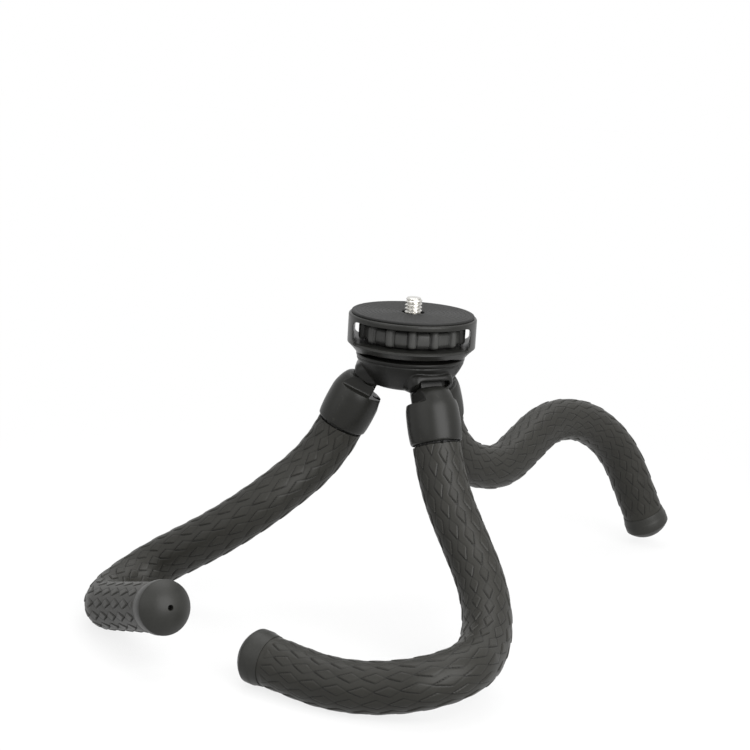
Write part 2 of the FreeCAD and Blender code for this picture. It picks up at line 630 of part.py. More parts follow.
def route(leg, joint):
    """The leg's centre line: straight runs, and the bends between them."""
    share = value("leg_long / leg_drawn")
    point = joint.pivot + joint.out * value("collar_out")
    heading, normal = joint.down, joint.out
    used = 0.0
    runs, bends = [], []
    for number in range(1, len(BENDS[leg]) + 1):
        length, radius, angle, roll = (value(f"{leg}_{key}_{number}") for key in BEND_KEYS)
        length, radius = length * share, radius * share
        runs.append(Run(point, heading, length))
        point = point + heading * length
        normal = Rotation(heading, roll).multVec(normal)
        axis = heading.cross(normal)
        bends.append(Bend(point, heading, normal, axis, radius, angle))
        centre = point + normal * radius
        swing = Rotation(axis, angle)
        point = centre + swing.multVec(point - centre)
        heading, normal = swing.multVec(heading), swing.multVec(normal)
        used += length + radius * math.radians(angle)
    runs.append(Run(point, heading, value("leg_long") - used))
    return runs, bends


def section(centre, heading, outer, inner):
    circles = [Part.Wire(Part.makeCircle(radius, centre, heading)) for radius in (outer, inner) if radius > 0]
    return Part.makeFace(circles, "Part::FaceMakerBullseye")


def half_bend(bend, late, outer, inner):
    """The first or the second half of a bend, as a piece of a torus."""
    centre = bend.start + bend.normal * bend.radius
    swing = Rotation(bend.axis, bend.turn / 2 if late else 0.0)
    start = centre + swing.multVec(bend.start - centre)
    return section(start, swing.multVec(bend.heading), outer, inner).revolve(centre, bend.axis, bend.turn / 2)


def links(runs, bends, outer, inner, start_drop, end_short):
    """The leg cut in the middle of each bend: one closed tube or rod for each link."""
    shapes = []
    for k, run in enumerate(runs):
        skip = start_drop if k == 0 else 0.0
        length = run.length - skip - (end_short if k == len(bends) else 0.0)
        face = section(run.start + run.heading * skip, run.heading, outer, inner)
        pieces = [face.extrude(run.heading * length)]
        centre_line = length
        for bend, late in ((k - 1, True), (k, False)):
            if 0 <= bend < len(bends):
                pieces.append(half_bend(bends[bend], late, outer, inner))
                centre_line += bends[bend].radius * math.radians(bends[bend].turn / 2)
        shape = pieces[0].multiFuse(pieces[1:]).removeSplitter()
        expected = math.pi * (outer ** 2 - inner ** 2) * centre_line
        if abs(shape.Volume / expected - 1) > 1e-3:
            raise ValueError(f"link {k + 1}: volume {shape.Volume:.1f}, expected {expected:.1f}")
        shapes.append(shape)
    return shapes


def keep_links(leg, stem, shapes):
    for number, shape in enumerate(shapes, start=1):
        piece = doc.addObject("Part::Feature", f"{leg}_{stem}_{number}_form")
        piece.Shape = shape
        keep(piece, f"{leg}_{stem}_{number}")


def foot_cap(leg, placement):
    """Rubber cap: a skirt that flares from the sleeve and a dome with a vent hole."""
    name = leg + "_cap_"
    skirt = doc.addObject("Part::Cone", name + "skirt")
    bore = "sleeve_radius + fixed_gap"
    bind(skirt, Radius1=f"{bore} + cap_skirt_wall", Radius2="cap_radius", Height="cap_skirt_long")
    place(skirt, z="-cap_skirt_long")
    dome = doc.addObject("Part::Ellipsoid", name + "dome")
    dome.Angle1 = 0
    bind(dome, Radius1="cap_dome_high", Radius2="cap_radius", Radius3="cap_radius")
    hollow = rod(name + "bore", bore, "cap_skirt_long + over_cut", z="-cap_skirt_long - over_cut")
    vent = rod(name + "vent", "vent_radius", "cap_dome_high + 2 * over_cut", z="-over_cut")
    cut = less(name + "cut", joined(name + "solid", [skirt, dome]), joined(name + "hollows", [hollow, vent]))
    keep(cut, leg + "_foot_cap", placement)


def triple(vector):
    return "%.5f %.5f %.5f" % tuple(vector)


def build_leg(leg):
    joint = hip(leg)
    neck(leg, joint.placement)
    collar(leg, joint.placement)
    neck_screw(leg, joint.placement)
    runs, bends = route(leg, joint)
    mouth = value("collar_drop - collar_mouth_deep")
    sleeve_bore = value("core_radius + fixed_gap")
    core_start = value("stem_drop - socket_deep")
    keep_links(leg, "sleeve", links(runs, bends, value("sleeve_radius"), sleeve_bore, mouth, 0.0))
    keep_links(leg, "core", links(runs, bends, value("core_radius"), 0.0, core_start, value("core_short")))
    last = runs[-1]
    rim = last.start + last.heading * last.length
    side = Rotation(Vector(0, 0, 1), last.heading).multVec(Vector(1, 0, 0))
    foot_cap(leg, frame_at(rim, side, last.heading))
    print("hinge", leg + "_hip", triple(joint.pivot), triple(joint.down.cross(joint.out)), value("hip_tilt"))
    for number, bend in enumerate(bends, start=1):
        half = math.radians(bend.turn) / 2
        pole = bend.start + bend.heading * (bend.radius * half)
        pole = pole + bend.normal * (bend.radius * (1 - half / math.tan(half)))
        print("hinge", f"{leg}_bend_{number}", triple(pole), triple(bend.axis), bend.turn)
    print("foot", leg, triple(rim), triple(last.heading), "last run %.1f" % last.length)


camera_pad()
head_cage()
thumbwheel()
camera_screw()
ring("screw_clip", "shoulder_radius + fixed_gap", "clip_radius", WHEEL_TOP, f"{WHEEL_TOP} + clip_thick")
ring("glide_washer", "glide_inner_radius", "glide_radius", SILL, f"{WHEEL_LOW} - glide_gap")
pan_bolt()
pan_nut()
ring("brake_washer", "bolt_radius + fixed_gap", "brake_radius", BRAKE_LOW, DECK_LOW)
hub_bowl()
hub_cover()
cover_screws()
hinge_pins()
hip_washers()
for leg_name in BENDS:
    build_leg(leg_name)

doc.recompute()
for item in doc.Objects:
    if "Invalid" in item.State or "Error" in item.State:
        raise ValueError(f"{item.Label} did not build: {item.State}")
for piece in kept:
    if piece.Shape.isNull() or not piece.Shape.isValid():
        raise ValueError(f"{piece.Label} is not a valid shape")

os.makedirs("parts", exist_ok=True)
lows = {piece.Label: piece.Shape.optimalBoundingBox(False).ZMin for piece in kept}
for piece in kept:
    piece.Shape.exportStep(f"parts/{piece.Label}.step")
    print(f"{piece.Label}: {len(piece.Shape.Solids)} solid(s), {piece.Shape.Volume:.1f} cubic mm")
print(f"{len(kept)} sub-parts, height {value('screw_reach') - min(lows.values()):.2f}")
for leg_name in BENDS:
    own = sorted((low, label) for label, low in lows.items() if label.startswith(leg_name + "_"))
    print(leg_name, "leg is lowest at", ", ".join(f"{label} {low:.2f}" for low, label in own[:3]))
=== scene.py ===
# %% [markdown]
# # A camera support with three bendable legs
# A round head with a captive camera screw stands on a bowl-shaped hub, and three rubber-covered
# legs are hinged under it. The CAD model gives every part its place. This script gives each part
# the surface that the real one has: scales on the rubber, mould roundings on the plastic, a
# thread on the screw. All lengths below are in millimetres until a mesh is made.

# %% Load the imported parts
import math
from collections import namedtuple

import bmesh
import bpy
import numpy as np
from mathutils import Matrix, Vector


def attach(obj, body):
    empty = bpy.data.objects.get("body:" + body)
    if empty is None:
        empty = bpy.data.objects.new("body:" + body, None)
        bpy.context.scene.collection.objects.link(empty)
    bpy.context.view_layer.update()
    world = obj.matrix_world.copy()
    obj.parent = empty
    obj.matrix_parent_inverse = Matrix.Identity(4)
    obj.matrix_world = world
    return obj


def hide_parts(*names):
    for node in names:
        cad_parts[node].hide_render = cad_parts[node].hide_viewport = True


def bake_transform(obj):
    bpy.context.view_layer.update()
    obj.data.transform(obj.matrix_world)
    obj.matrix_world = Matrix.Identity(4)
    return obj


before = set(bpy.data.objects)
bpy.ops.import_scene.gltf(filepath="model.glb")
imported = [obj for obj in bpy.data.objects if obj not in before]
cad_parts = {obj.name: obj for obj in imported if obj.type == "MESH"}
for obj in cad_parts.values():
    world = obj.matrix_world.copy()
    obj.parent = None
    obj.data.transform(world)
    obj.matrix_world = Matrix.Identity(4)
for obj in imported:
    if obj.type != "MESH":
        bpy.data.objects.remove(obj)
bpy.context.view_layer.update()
MM = 0.001

# %% [markdown]
# ## The sizes that the pieces share
# Nearly every size here is the CAD model's own, so that a moulded edge in Blender lies on the
# solid's edge. The head's turn and the caps' radius are nearer to the photograph than there.
# Heights count down from the camera pad's top face. A bend is given by the straight run before
# it, its radius, its turn and its roll. A least-squares fit to points measured on the photograph
# gave the bends, together with the camera's place further down.

# %% Heights and radii
PAD_THICK, PLATE_THICK, WINDOW_HIGH, SILL_HIGH = 1.0, 2.0, 8.1, 4.7
PLATE_LOW = -PAD_THICK - PLATE_THICK
SILL = PLATE_LOW - WINDOW_HIGH
RIM = SILL - SILL_HIGH
WHEEL_LOW = SILL + 0.4
WHEEL_TOP = WHEEL_LOW + 6.9
BOWL_LOW = RIM - 11.7
DECK_LOW = RIM - 3.2
PIVOT_Z = RIM - 7.8
PIVOT_OUT, COLLAR_OUT = 13.3, 1.8
COLLAR_DROP, COLLAR_MOUTH = 23.4, 2.0
SLEEVE_R, CORE_R, CAP_R = 8.75, 3.0, 9.65
LEG_LONG = 205.0
HEAD_TURN, LEGS_TURN, HIP_TILT = -1.5, 27.0, 24.0
LEG_AZIMUTH = {"left": 150.0, "front": -90.0, "right": 30.0}
BENDS = {
    "left": ((24.5, 47, 32.6, -40), (3.5, 74, 33, 114), (11.5, 19, 69, -167), (0.5, 20, 72, -4)),
    "front": ((26, 89, 17.1, -28.5), (16.1, 39, 72.1, 87.2), (0.5, 22.1, 72.1, 66.8),
              (0.5, 64.8, 32.7, -31.6)),
    "right": ((25, 41, 55.3, 17), (0.5, 30, 34, -31), (19.5, 49, 34, 181), (0.5, 47, 57, 8)),
}
print("bowl's rim at", round(RIM, 2), "and hinges at", round(PIVOT_Z, 2))

# %% [markdown]
# ## Making meshes from rings
# Nearly every piece is a row of closed rings joined by quads: a turned shape's rings are its
# section at each angle, a tube's rings are its circles along the leg. One function joins rings,
# and the others only say where the points go.


# %% Rings to a mesh
SAME_POINT = 1e-4


def new_piece(name, mesh):
    piece = bpy.data.objects.new(name, mesh)
    bpy.context.scene.collection.objects.link(piece)
    return piece


def skin(name, rings, closed=False):
    """Join rings with quads. Open ends get a flat cap; a closed row meets itself."""
    rings = np.asarray(rings, float)
    count, around = rings.shape[:2]
    index = np.arange(count * around).reshape(count, around)
    rows = count if closed else count - 1
    faces = []
    for a in range(rows):
        low, high = index[a], index[(a + 1) % count]
        quads = np.stack([low, np.roll(low, -1), np.roll(high, -1), high], axis=1)
        faces.extend(quads.tolist())
    if not closed:
        faces.append(index[0][::-1].tolist())
        faces.append(index[-1].tolist())
    mesh = bpy.data.meshes.new(name)
    mesh.from_pydata(rings.reshape(-1, 3).tolist(), [], faces)
    work = bmesh.new()
    work.from_mesh(mesh)
    bmesh.ops.remove_doubles(work, verts=work.verts, dist=SAME_POINT)
    bmesh.ops.dissolve_degenerate(work, edges=work.edges, dist=SAME_POINT)
    bare = [edge for edge in work.edges if not edge.link_faces]
    bmesh.ops.delete(work, geom=bare, context="EDGES")
    bmesh.ops.recalc_face_normals(work, faces=work.faces)
    work.to_mesh(mesh)
    work.free()
    mesh.shade_smooth()
    return new_piece(name, mesh)


def turned(name, section, steps=192, start=0.0, sweep=360.0):
    """Turn a section of (radius, height) about Z. The section may be a function of the angle."""
    closed = sweep >= 360.0
    angles = np.radians(np.linspace(start, start + sweep, steps, endpoint=not closed))
    rings = []
    for angle in angles:
        outline = section(angle) if callable(section) else section
        rings.append([(r * math.cos(angle), r * math.sin(angle), z) for r, z in outline])
    return skin(name, rings, closed)


def rod(name, radius, low, high, steps):
    return turned(name, [(0, low), (radius, low), (radius, high), (0, high)], steps)


def prism(name, outline, low, high, along="Y"):
    """Push an outline from low to high along X or Y; the outline's pairs are the other two."""
    order = {"X": lambda u, v, w: (w, u, v), "Y": lambda u, v, w: (u, w, v)}
    return skin(name, [[order[along](u, v, w) for u, v in outline] for w in (low, high)])


def rounded(left, right, low, high, radius, steps=6):
    """A rectangle with round corners, as (u, v) points."""
    points = []
    corners = ((right, high, 0), (left, high, 90), (left, low, 180), (right, low, 270))
    for u, v, first in corners:
        centre_u = u - math.copysign(radius, u - (left + right) / 2)
        centre_v = v - math.copysign(radius, v - (low + high) / 2)
        for angle in np.radians(np.linspace(first, first + 90, steps)):
            points.append((centre_u + radius * math.cos(angle), centre_v + radius * math.sin(angle)))
    return points


def round_outline(radius, steps, u=0.0, v=0.0):
    """A circle round (u, v), as (u, v) points."""
    angles = np.radians(np.linspace(0, 360, steps, endpoint=False))
    return [(u + radius * math.cos(a), v + radius * math.sin(a)) for a in angles]


def flowing(points, steps=6):
    """A smooth line through (u, v) points, as Catmull and Rom draw it."""
    p = np.asarray([points[0], *points, points[-1]], float)
    line = []
    for k in range(1, len(p) - 2):
        for t in np.linspace(0, 1, steps, endpoint=False):
            line.append(0.5 * (2 * p[k] + (p[k + 1] - p[k - 1]) * t
                               + (2 * p[k - 1] - 5 * p[k] + 4 * p[k + 1] - p[k + 2]) * t ** 2
                               + (3 * p[k] - p[k - 1] - 3 * p[k + 1] + p[k + 2]) * t ** 3))
    return [tuple(q) for q in line] + [tuple(points[-1])]


# %% [markdown]
# ## Moulded edges
# A moulding has a small rounding on every edge, outside and inside corners alike. A bevel only
# reaches edges that meet cleanly, and these shapes are cut through each other. So the cut shape
# is wrapped again in small even faces and then smoothed a few times: the flats stay, and each
# edge gets the soft line that catches the light.


# %% Cut, join and round off
def settle(piece):
    """Put the modifiers' result into the mesh."""
    graph = bpy.context.evaluated_depsgraph_get()
    mesh = bpy.data.meshes.new_from_object(piece.evaluated_get(graph), depsgraph=graph)
    piece.modifiers.clear()
    piece.data = mesh


def combine(base, tools, operation="DIFFERENCE"):
    for tool in tools:
        step = base.modifiers.new(operation.lower(), "BOOLEAN")
        step.operation, step.solver, step.object = operation, "MANIFOLD", tool
    settle(base)
    for tool in tools:
        bpy.data.objects.remove(tool)
    return base


def mould(piece, grain=0.25, passes=4):
    wrap = piece.modifiers.new("wrap", "REMESH")
    wrap.mode, wrap.voxel_size = "VOXEL", grain
    ease = piece.modifiers.new("ease", "SMOOTH")
    ease.factor, ease.iterations = 0.5, passes
    settle(piece)
    piece.data.shade_smooth()
    print(piece.name, "has", len(piece.data.polygons), "faces")
    return piece


def put(piece, matrix):
    piece.data.transform(matrix)
    piece.data.update()
    return piece


# %% [markdown]
# ## Shader sums
# A finish is a sum of a few noises. Written as node calls, such a sum is hard to read, so one
# small class wraps a socket and lets Python's own operators add the Math nodes.


# %% A socket that can be added and multiplied
class Wire:
    """One output of a node. Sums on it add Math nodes to the same material."""

    def __init__(self, tree, socket=None):
        self.tree, self.socket = tree, socket

    def node(self, kind, settings=None, inputs=None, output=0):
        made = self.tree.nodes.new(kind)
        for name, setting in (settings or {}).items():
            if name == "stops":
                for element, (place, shade) in zip(made.color_ramp.elements, setting):
                    element.position, element.color = place, shade
            else:
                setattr(made, name, setting)
        for name, given in (inputs or {}).items():
            if isinstance(given, Wire):
                self.tree.links.new(given.socket, made.inputs[name])
            else:
                made.inputs[name].default_value = given
        return Wire(self.tree, made.outputs[output])

    def sum(self, operation, first, second):
        return self.node("ShaderNodeMath", {"operation": operation}, {0: first, 1: second})

    def __add__(self, other):
        return self.sum("ADD", self, other)

    def __sub__(self, other):
        return self.sum("SUBTRACT", self, other)

    def __rsub__(self, other):
        return self.sum("SUBTRACT", other, self)

    def __mul__(self, other):
        return self.sum("MULTIPLY", self, other)

    def __truediv__(self, other):
        return self.sum("DIVIDE", self, other)

    __radd__, __rmul__ = __add__, __mul__

    def limited(self):
        """Kept between 0 and 1."""
        return self.node("ShaderNodeClamp", None, {0: self})

    def mix(self, low, high):
        """The colour low where this is 0, and high where it is 1."""
        return self.node("ShaderNodeMix", {"data_type": "RGBA"}, {0: self, 6: low, 7: high}, output=2)


# %% [markdown]
# ## What every finish starts from
# Each finish of the object is a Principled shader whose colour and roughness follow a cloudy
# noise. Place is measured in the object's own metres, so a blot keeps its size on any piece.

# %% Noise, and a new finish
def grain(place, size, detail=2.0, rough=0.5):
    """A cloudy pattern whose blots are about this many millimetres across."""
    sockets = {"Vector": place, "Scale": 1 / (size * MM), "Detail": detail, "Roughness": rough}
    return place.node("ShaderNodeTexNoise", None, sockets)


def shade(colour, level=1.0):
    return tuple(part * level for part in colour) + (1.0,)


Finish = namedtuple("Finish", "material shader place")


def new_finish(name, **constants):
    material = bpy.data.materials.new(name)
    material.use_nodes = True
    tree = material.node_tree
    shader = tree.nodes["Principled BSDF"]
    for socket, amount in constants.items():
        shader.inputs[socket.replace("_", " ")].default_value = amount
    place = Wire(tree).node("ShaderNodeTexCoord", output="Object")
    return Finish(material, shader, place)


def feed(finish, **wires):
    for socket, wire in wires.items():
        wire.tree.links.new(wire.socket, finish.shader.inputs[socket.replace("_", " ")])


def bumped(finish, height, distance, strength=1.0):
    """Let a height pattern, in units of distance millimetres, tilt the surface."""
    sockets = {"Height": height, "Distance": distance * MM, "Strength": strength}
    feed(finish, Normal=height.node("ShaderNodeBump", None, sockets))


# %% [markdown]
# ## Moulded plastic
# The head, the hub and the collars are black plastic from a spark-eroded mould: a satin skin
# with a very fine even grain. It looks dark grey where it reflects the studio. Edges that hands
# rub are a shade lighter, and dust makes it slightly uneven. The hub's and the collars' copies
# are darker, as painted shade, and the wheel's copy is lighter, as painted light.


# %% The plastics
SHEEN = 0.20
EDGE_FROM, EDGE_GAIN = 0.515, 9.0


def plastic(name, colour, roughness, grain_size=0.28, grain_deep=0.012):
    finish = new_finish(name, Specular_IOR_Level=SHEEN)
    clouds = grain(finish.place, 9.0, 3.0)
    specks = grain(finish.place, grain_size, 2.0, 0.6)
    edge = finish.place.node("ShaderNodeNewGeometry", output="Pointiness")
    worn = ((edge - EDGE_FROM) * EDGE_GAIN).limited()
    mixed = (clouds * 0.5 + specks * 0.35 + worn * 0.55).limited()
    feed(finish, Base_Color=mixed.mix(shade(colour, 0.6), shade(colour, 1.8)),
         Roughness=(clouds * 0.16 + specks * 0.12 + (roughness - 0.14)).limited())
    bumped(finish, specks, grain_deep)
    return finish.material


PLASTIC = plastic("moulded_black_plastic", (0.0135, 0.0135, 0.0122), 0.35)
# painted shade: this darker copy stands in for the shade on the bowl's underside; the necks in the
# arches, the hub cover and the hinge washers use it too
SHADED_HUB_PLASTIC = plastic("hub_plastic_painted_shade", (0.0055, 0.0055, 0.0048), 0.37)
# painted light: the wheel's copy is made lighter to stand in for the front light falling on it
LIT_WHEEL_PLASTIC = plastic("wheel_plastic_painted_light", (0.045, 0.045, 0.043), 0.42, 0.22)
# painted shade: the collars' copy is a little darker, standing in for the shade over the collars
SHADED_COLLAR_PLASTIC = plastic("collar_plastic_painted_shade", (0.0108, 0.0108, 0.0095), 0.36)
print("made", PLASTIC.name, SHADED_HUB_PLASTIC.name, LIT_WHEEL_PLASTIC.name, "and", SHADED_COLLAR_PLASTIC.name)

# %% [markdown]
# ## Rubber
# The sleeves are a soft grey-black rubber that never shines fully. Painted shade turns the lines
# round the scales, and the sunken step under the collar's mouth, almost black. The mesh carries
# its own relief height as an attribute, so the finish knows where those lines are.


# %% The rubbers
GROOVE_SHADE = 5.0


def rubber(name, colour, roughness, relief=None):
    finish = new_finish(name, Specular_IOR_Level=SHEEN)
    clouds = grain(finish.place, 14.0, 3.0)
    skin_grain = grain(finish.place, 0.9, 3.0, 0.6)
    tint = (clouds * 0.6 + skin_grain * 0.4).limited().mix(shade(colour, 0.65), shade(colour, 1.4))
    if relief:
        height = finish.place.node("ShaderNodeAttribute", {"attribute_name": relief}, output="Fac")
        # painted shade: where the relief sinks below the plain sleeve, in the grooves and at the
        # mouth's step, the colour goes almost black
        tint = (height * -GROOVE_SHADE).limited().mix(tint, shade(colour, 0.12))
    feed(finish, Base_Color=tint,
         Roughness=(clouds * 0.18 + skin_grain * 0.14 + (roughness - 0.16)).limited())
    bumped(finish, skin_grain, 0.03)
    return finish.material


SLEEVE_RUBBER = rubber("sleeve_rubber", (0.0190, 0.0184, 0.0156), 0.44, "relief")
CAP_RUBBER = rubber("cap_rubber", (0.0215, 0.0215, 0.0194), 0.43)
PAD_RUBBER = rubber("pad_rubber", (0.013, 0.013, 0.0125), 0.60)
print("made", SLEEVE_RUBBER.name, CAP_RUBBER.name, "and", PAD_RUBBER.name)

# %% [markdown]
# ## Metal and nylon
# The camera screw is zinc-plated steel, the small fasteners are blackened, the leg cores are
# soft aluminium wire, and the friction washers inside the head are milky nylon. Those at the
# hinges are black like the hub, since nothing pale shows in the arches.


# %% The small parts' finishes
def metal(name, colour, roughness, marks=0.2):
    finish = new_finish(name, Metallic=1.0)
    clouds = grain(finish.place, 2.5, 3.0)
    stretched = finish.place.node("ShaderNodeVectorMath", {"operation": "MULTIPLY"},
                                  {0: finish.place, 1: (1.0, 1.0, 9.0)})
    scratches = grain(stretched, 0.5, 4.0, 0.7)
    mixed = (clouds * 0.6 + scratches * 0.4).limited()
    feed(finish, Base_Color=mixed.mix(shade(colour, 0.75), shade(colour, 1.15)),
         Roughness=(scratches * marks + (roughness - marks / 2)).limited())
    bumped(finish, scratches, 0.01)
    return finish.material


SCREW_STEEL = metal("plated_steel", (0.62, 0.61, 0.58), 0.28)
DARK_STEEL = metal("blackened_steel", (0.16, 0.16, 0.16), 0.38)
CORE_METAL = metal("core_aluminium", (0.70, 0.70, 0.70), 0.42)


def nylon(name, colour):
    finish = new_finish(name)
    clouds = grain(finish.place, 3.0, 2.0)
    feed(finish, Base_Color=clouds.mix(shade(colour, 0.8), shade(colour, 1.05)),
         Roughness=(clouds * 0.2 + 0.35).limited())
    bumped(finish, clouds, 0.02)
    return finish.material


WASHER_NYLON = nylon("washer_nylon", (0.55, 0.54, 0.50))
print("made", SCREW_STEEL.name, DARK_STEEL.name, CORE_METAL.name, "and", WASHER_NYLON.name)


# %% [markdown]
# ## From a mesh to a part of the object
# A piece is drawn in millimetres. It then becomes metres, gets its finish, rides on the body that
# carries it, and hides the CAD parts whose place it takes.

# %% Giving a piece its finish and body, and hiding the CAD parts it replaces
def in_metres(piece):
    return put(piece, Matrix.Scale(MM, 4))


def finish_piece(piece, material, slot, body, *nodes):
    in_metres(piece)
    piece.data.materials.clear()
    piece.data.materials.append(material)
    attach(piece, body)
    if nodes:
        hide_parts(*nodes)
    return piece


# %% [markdown]
# ## The head
# One moulding holds the top plate, two pillars and the base. Its outside is turned, the window
# is cut straight through from front to back, and a crescent slot runs above the bowl's rim at
# the front and the back. The slot's ends are pointed, which only a cutter with changing height
# gives.

# %% Turn the head and cut its window and slots
RIM_R, PLATE_R = 20.5, 23.9
head_profile = [(0, RIM), (RIM_R - 0.4, RIM)]
head_profile += flowing([(RIM_R - 0.1, RIM + 0.2), (RIM_R + 0.75, RIM + 1.2), (RIM_R + 1.65, RIM + 2.2),
                         (PLATE_R - 0.75, SILL - 1.5), (PLATE_R - 0.55, SILL - 1.1),
                         (PLATE_R - 0.1, SILL - 0.95)], 5)
head_profile += [(PLATE_R, SILL - 0.9), (PLATE_R, -PAD_THICK - 0.5), (PLATE_R - 0.5, -PAD_THICK),
                 (0, -PAD_THICK)]
SLOT_HALF, SLOT_TAPER, SLOT_HIGH, SLOT_DEEP = 72.0, 27.0, 1.65, 5.5
WINDOW_HALF, WINDOW_CORNER, SILL_BEVEL_HALF = 21.6, 1.9, 62.0
BEARING_R, BOLT_HEAD_R, BOLT_HEAD_DEEP, BOLT_HOLE_R = 3.66, 4.85, 2.4, 2.55


def crescent(centre):
    """A cutter whose height falls to nothing at both ends of the slot."""
    def section(angle):
        off = abs((math.degrees(angle) - centre + 180) % 360 - 180)
        high = max(0.02, SLOT_HIGH * min(1.0, (SLOT_HALF - off) / SLOT_TAPER))
        inner, outer = RIM_R - SLOT_DEEP, PLATE_R + 2
        return [(inner, RIM - 0.02), (outer, RIM - 0.02), (outer, RIM + high), (inner, RIM + high)]
    return turned("crescent", section, 97, centre - SLOT_HALF, 2 * SLOT_HALF)


def sill_bevel(centre):
    """A cutter for the bevel along the sill's front edge, which ends beside the pillars."""
    wedge = [(PLATE_R - 1.0, SILL + 0.1), (PLATE_R + 1, SILL + 0.1), (PLATE_R + 1, SILL - 1.9)]
    return turned("sill_bevel", wedge, 65, centre - SILL_BEVEL_HALF, 2 * SILL_BEVEL_HALF)


head = turned("head_moulding", head_profile, 256)
window = prism("window", rounded(-WINDOW_HALF, WINDOW_HALF, SILL, PLATE_LOW, WINDOW_CORNER), -30, 30)
bearing = rod("bearing", BEARING_R, PLATE_LOW - 1, 1, 64)
bolt_seat = rod("bolt_seat", BOLT_HEAD_R, SILL - BOLT_HEAD_DEEP, SILL + 1, 64)
bolt_hole = rod("bolt_hole", BOLT_HOLE_R, RIM - 1, SILL - 2, 48)
combine(head, [window, bearing, bolt_seat, bolt_hole])
combine(head, [tool(side) for tool in (crescent, sill_bevel) for side in (-90, 90)])
mould(head, 0.24, 3)
put(head, Matrix.Rotation(math.radians(HEAD_TURN), 4, "Z"))
finish_piece(head, PLASTIC, "moulded_plastic", "head", "head_cage")

# %% [markdown]
# ## The camera pad
# A ring of rubber keeps the camera from turning. Its grip lines are shallow circles, so it is
# turned with the lines in its section.

# %% Turn the pad with its grip lines
PAD_R, PAD_HOLE, PAD_LINE_DEEP, PAD_LINE_PITCH = 22.9, 4.3, 0.18, 1.6
pad_top = []
for radius in np.arange(PAD_HOLE + 0.5, PAD_R - 1.0, 0.2):
    line = 0.5 - 0.5 * math.cos(2 * math.pi * (radius - PAD_HOLE) / PAD_LINE_PITCH)
    pad_top.append((radius, -PAD_LINE_DEEP * line ** 6))
pad_profile = [(PAD_HOLE, -PAD_THICK), (PAD_R, -PAD_THICK), (PAD_R, -0.45), (PAD_R - 0.12, -0.17),
               (PAD_R - 0.4, 0)]
pad_profile += pad_top[::-1] + [(PAD_HOLE, -0.05)]
pad = turned("grip_pad", pad_profile, 160)
put(pad, Matrix.Rotation(math.radians(HEAD_TURN), 4, "Z"))
finish_piece(pad, PAD_RUBBER, "pad_rubber", "head", "camera_pad")

# %% [markdown]
# ## The thumbwheel
# Fourteen rounded ribs stand out of a smooth drum. Cutting ribs out of a disc would need many
# booleans. It is simpler to turn a section whose radius swells as it passes each rib.

# %% Turn the wheel with swelling ribs
WHEEL_R, WEB_R, RIB_COUNT, RIB_HALF, WHEEL_TURN = 20.2, 18.7, 14, 1.65, 12.6
WHEEL_BORE, SEAT_R, SEAT_DEEP = 3.65, 5.55, 1.2


def rib_swell(angle):
    """0 between ribs and 1 on top of one. A thin groove runs beside the rib's round back."""
    pitch = 2 * math.pi / RIB_COUNT
    off = abs((angle + pitch / 2) % pitch - pitch / 2) * WHEEL_R / RIB_HALF
    return (1 - off ** 2.2) ** 0.5 if off < 1 else -0.22 * math.exp(-((off - 1.1) / 0.16) ** 2)


def wheel_section(angle):
    swell = rib_swell(angle)
    out = WEB_R + (WHEEL_R - WEB_R) * swell
    low = WHEEL_LOW + 0.5 * (1 - swell)
    top = WHEEL_TOP - 0.95 * (1 - swell)
    return [(WHEEL_BORE, WHEEL_LOW + SEAT_DEEP), (SEAT_R, WHEEL_LOW + SEAT_DEEP), (SEAT_R, WHEEL_LOW),
            (WEB_R - 3.2, WHEEL_LOW), (WEB_R - 1.2, WHEEL_LOW + 0.1), (out - 0.75, low + 0.35),
            (out - 0.2, low + 0.75), (out, low + 1.3), (out, top - 1.2), (out - 0.18, top - 0.6),
            (out - 0.62, top - 0.18), (out - 1.2, top), (16.2, top),
            (15.7, top + (WHEEL_TOP - top) * 0.6), (15.1, WHEEL_TOP), (WHEEL_BORE, WHEEL_TOP)]


wheel = turned("ribbed_wheel", wheel_section, RIB_COUNT * 48)
put(wheel, Matrix.Rotation(math.radians(WHEEL_TURN), 4, "Z"))
finish_piece(wheel, LIT_WHEEL_PLASTIC, "wheel_plastic", "wheel", "thumbwheel")
print("wheel has", len(wheel.data.polygons), "faces")

# %% [markdown]
# ## The camera screw
# A quarter-inch thread has twenty turns to the inch. A real thread climbs, so rings won't do:
# each ring of points is shifted by where the helix is at that height.

# %% Wind the thread
SCREW_R, PITCH, THREAD_DEEP, SCREW_TIP = 3.175, 25.4 / 20, 0.62, 5.5
CREST_PART, FLANK_PART, TIP_LONG, TIP_DEEP = 0.08, 0.84, 0.9, 0.75


def thread_radius(angle, z):
    turn = (z / PITCH - angle / (2 * math.pi)) % 1.0
    flank = min(1.0, max(0.0, (abs(turn - 0.5) * 2 - CREST_PART) / FLANK_PART))
    tip = min(1.0, max(0.0, (SCREW_TIP - z) / TIP_LONG))
    return min(SCREW_R - THREAD_DEEP * flank, SCREW_R - TIP_DEEP + TIP_DEEP * tip)


angles = np.linspace(0, 2 * math.pi, 72, endpoint=False)
screw_rings = []
for z in np.linspace(-0.2, SCREW_TIP, 70):
    radii = [thread_radius(a, z) for a in angles]
    screw_rings.append([(r * math.cos(a), r * math.sin(a), z) for r, a in zip(radii, angles)])
flange = [(5.5, WHEEL_LOW), (5.5, WHEEL_LOW + 1.15), (3.6, WHEEL_LOW + 1.15), (3.6, -0.95),
          (3.45, -0.8), (2.6, -0.8), (2.55, -0.2)]
foot_rings = [[(r * math.cos(a), r * math.sin(a), z) for a in angles] for r, z in flange]
screw = skin("threaded_screw", foot_rings + screw_rings)
screw.data.set_sharp_from_angle(angle=math.radians(32))
finish_piece(screw, SCREW_STEEL, "screw_steel", "wheel", "camera_screw")

